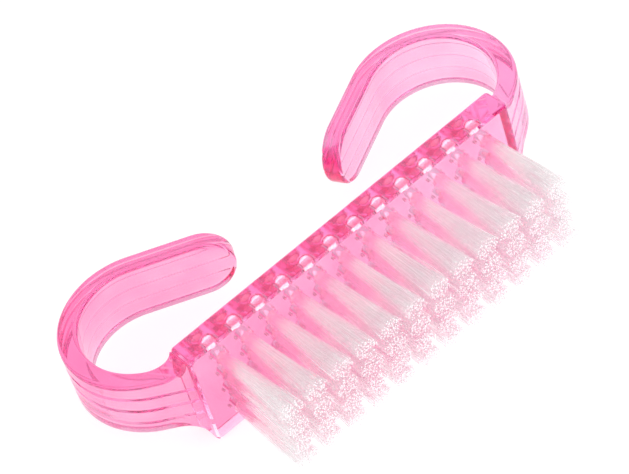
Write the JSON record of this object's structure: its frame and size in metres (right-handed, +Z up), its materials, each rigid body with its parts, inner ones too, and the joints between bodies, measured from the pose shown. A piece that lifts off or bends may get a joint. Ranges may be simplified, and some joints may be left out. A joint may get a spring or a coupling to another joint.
{
  "type": "nail brush",
  "caption": "Slim scrubbing brush for fingernails: a flat clear plastic block with curled finger hooks at both ends and short upright nylon tufts over its face.",
  "frame": {"origin": "under the middle of the bounding box, on the surface that the brush's side lies on", "axes": "+X along the brush, +Y from the bristle tips towards the finger hooks, +Z up through the brush's width as it lies on its side"},
  "size_m": [0.067, 0.0356, 0.0143],
  "materials": {
    "pink_plastic": "polished clear pink",
    "nylon_bristle": "frosted white nylon",
    "anchor_metal": "dull drawn wire"
  },
  "bodies": {
    "root": {"handle": "pink_plastic", "anchors_row_1": "anchor_metal", "anchors_row_2": "anchor_metal", "anchors_row_3": "anchor_metal", "anchors_row_4": "anchor_metal", "tuft_row_1_column_01": "nylon_bristle", "tuft_row_1_column_02": "nylon_bristle", "tuft_row_1_column_03": "nylon_bristle", "tuft_row_1_column_04": "nylon_bristle", "tuft_row_1_column_05": "nylon_bristle", "tuft_row_1_column_06": "nylon_bristle", "tuft_row_1_column_07": "nylon_bristle", "tuft_row_1_column_08": "nylon_bristle", "tuft_row_1_column_09": "nylon_bristle", "tuft_row_1_column_10": "nylon_bristle", "tuft_row_1_column_11": "nylon_bristle", "tuft_row_1_column_12": "nylon_bristle", "tuft_row_2_column_01": "nylon_bristle", "tuft_row_2_column_02": "nylon_bristle", "tuft_row_2_column_03": "nylon_bristle", "tuft_row_2_column_04": "nylon_bristle", "tuft_row_2_column_05": "nylon_bristle", "tuft_row_2_column_06": "nylon_bristle", "tuft_row_2_column_07": "nylon_bristle", "tuft_row_2_column_08": "nylon_bristle", "tuft_row_2_column_09": "nylon_bristle", "tuft_row_2_column_10": "nylon_bristle", "tuft_row_2_column_11": "nylon_bristle", "tuft_row_2_column_12": "nylon_bristle", "tuft_row_3_column_01": "nylon_bristle", "tuft_row_3_column_02": "nylon_bristle", "tuft_row_3_column_03": "nylon_bristle", "tuft_row_3_column_04": "nylon_bristle", "tuft_row_3_column_05": "nylon_bristle", "tuft_row_3_column_06": "nylon_bristle", "tuft_row_3_column_07": "nylon_bristle", "tuft_row_3_column_08": "nylon_bristle", "tuft_row_3_column_09": "nylon_bristle", "tuft_row_3_column_10": "nylon_bristle", "tuft_row_3_column_11": "nylon_bristle", "tuft_row_3_column_12": "nylon_bristle", "tuft_row_4_column_01": "nylon_bristle", "tuft_row_4_column_02": "nylon_bristle", "tuft_row_4_column_03": "nylon_bristle", "tuft_row_4_column_04": "nylon_bristle", "tuft_row_4_column_05": "nylon_bristle", "tuft_row_4_column_06": "nylon_bristle", "tuft_row_4_column_07": "nylon_bristle", "tuft_row_4_column_08": "nylon_bristle", "tuft_row_4_column_09": "nylon_bristle", "tuft_row_4_column_10": "nylon_bristle", "tuft_row_4_column_11": "nylon_bristle", "tuft_row_4_column_12": "nylon_bristle"}
  },
  "joints": []
}
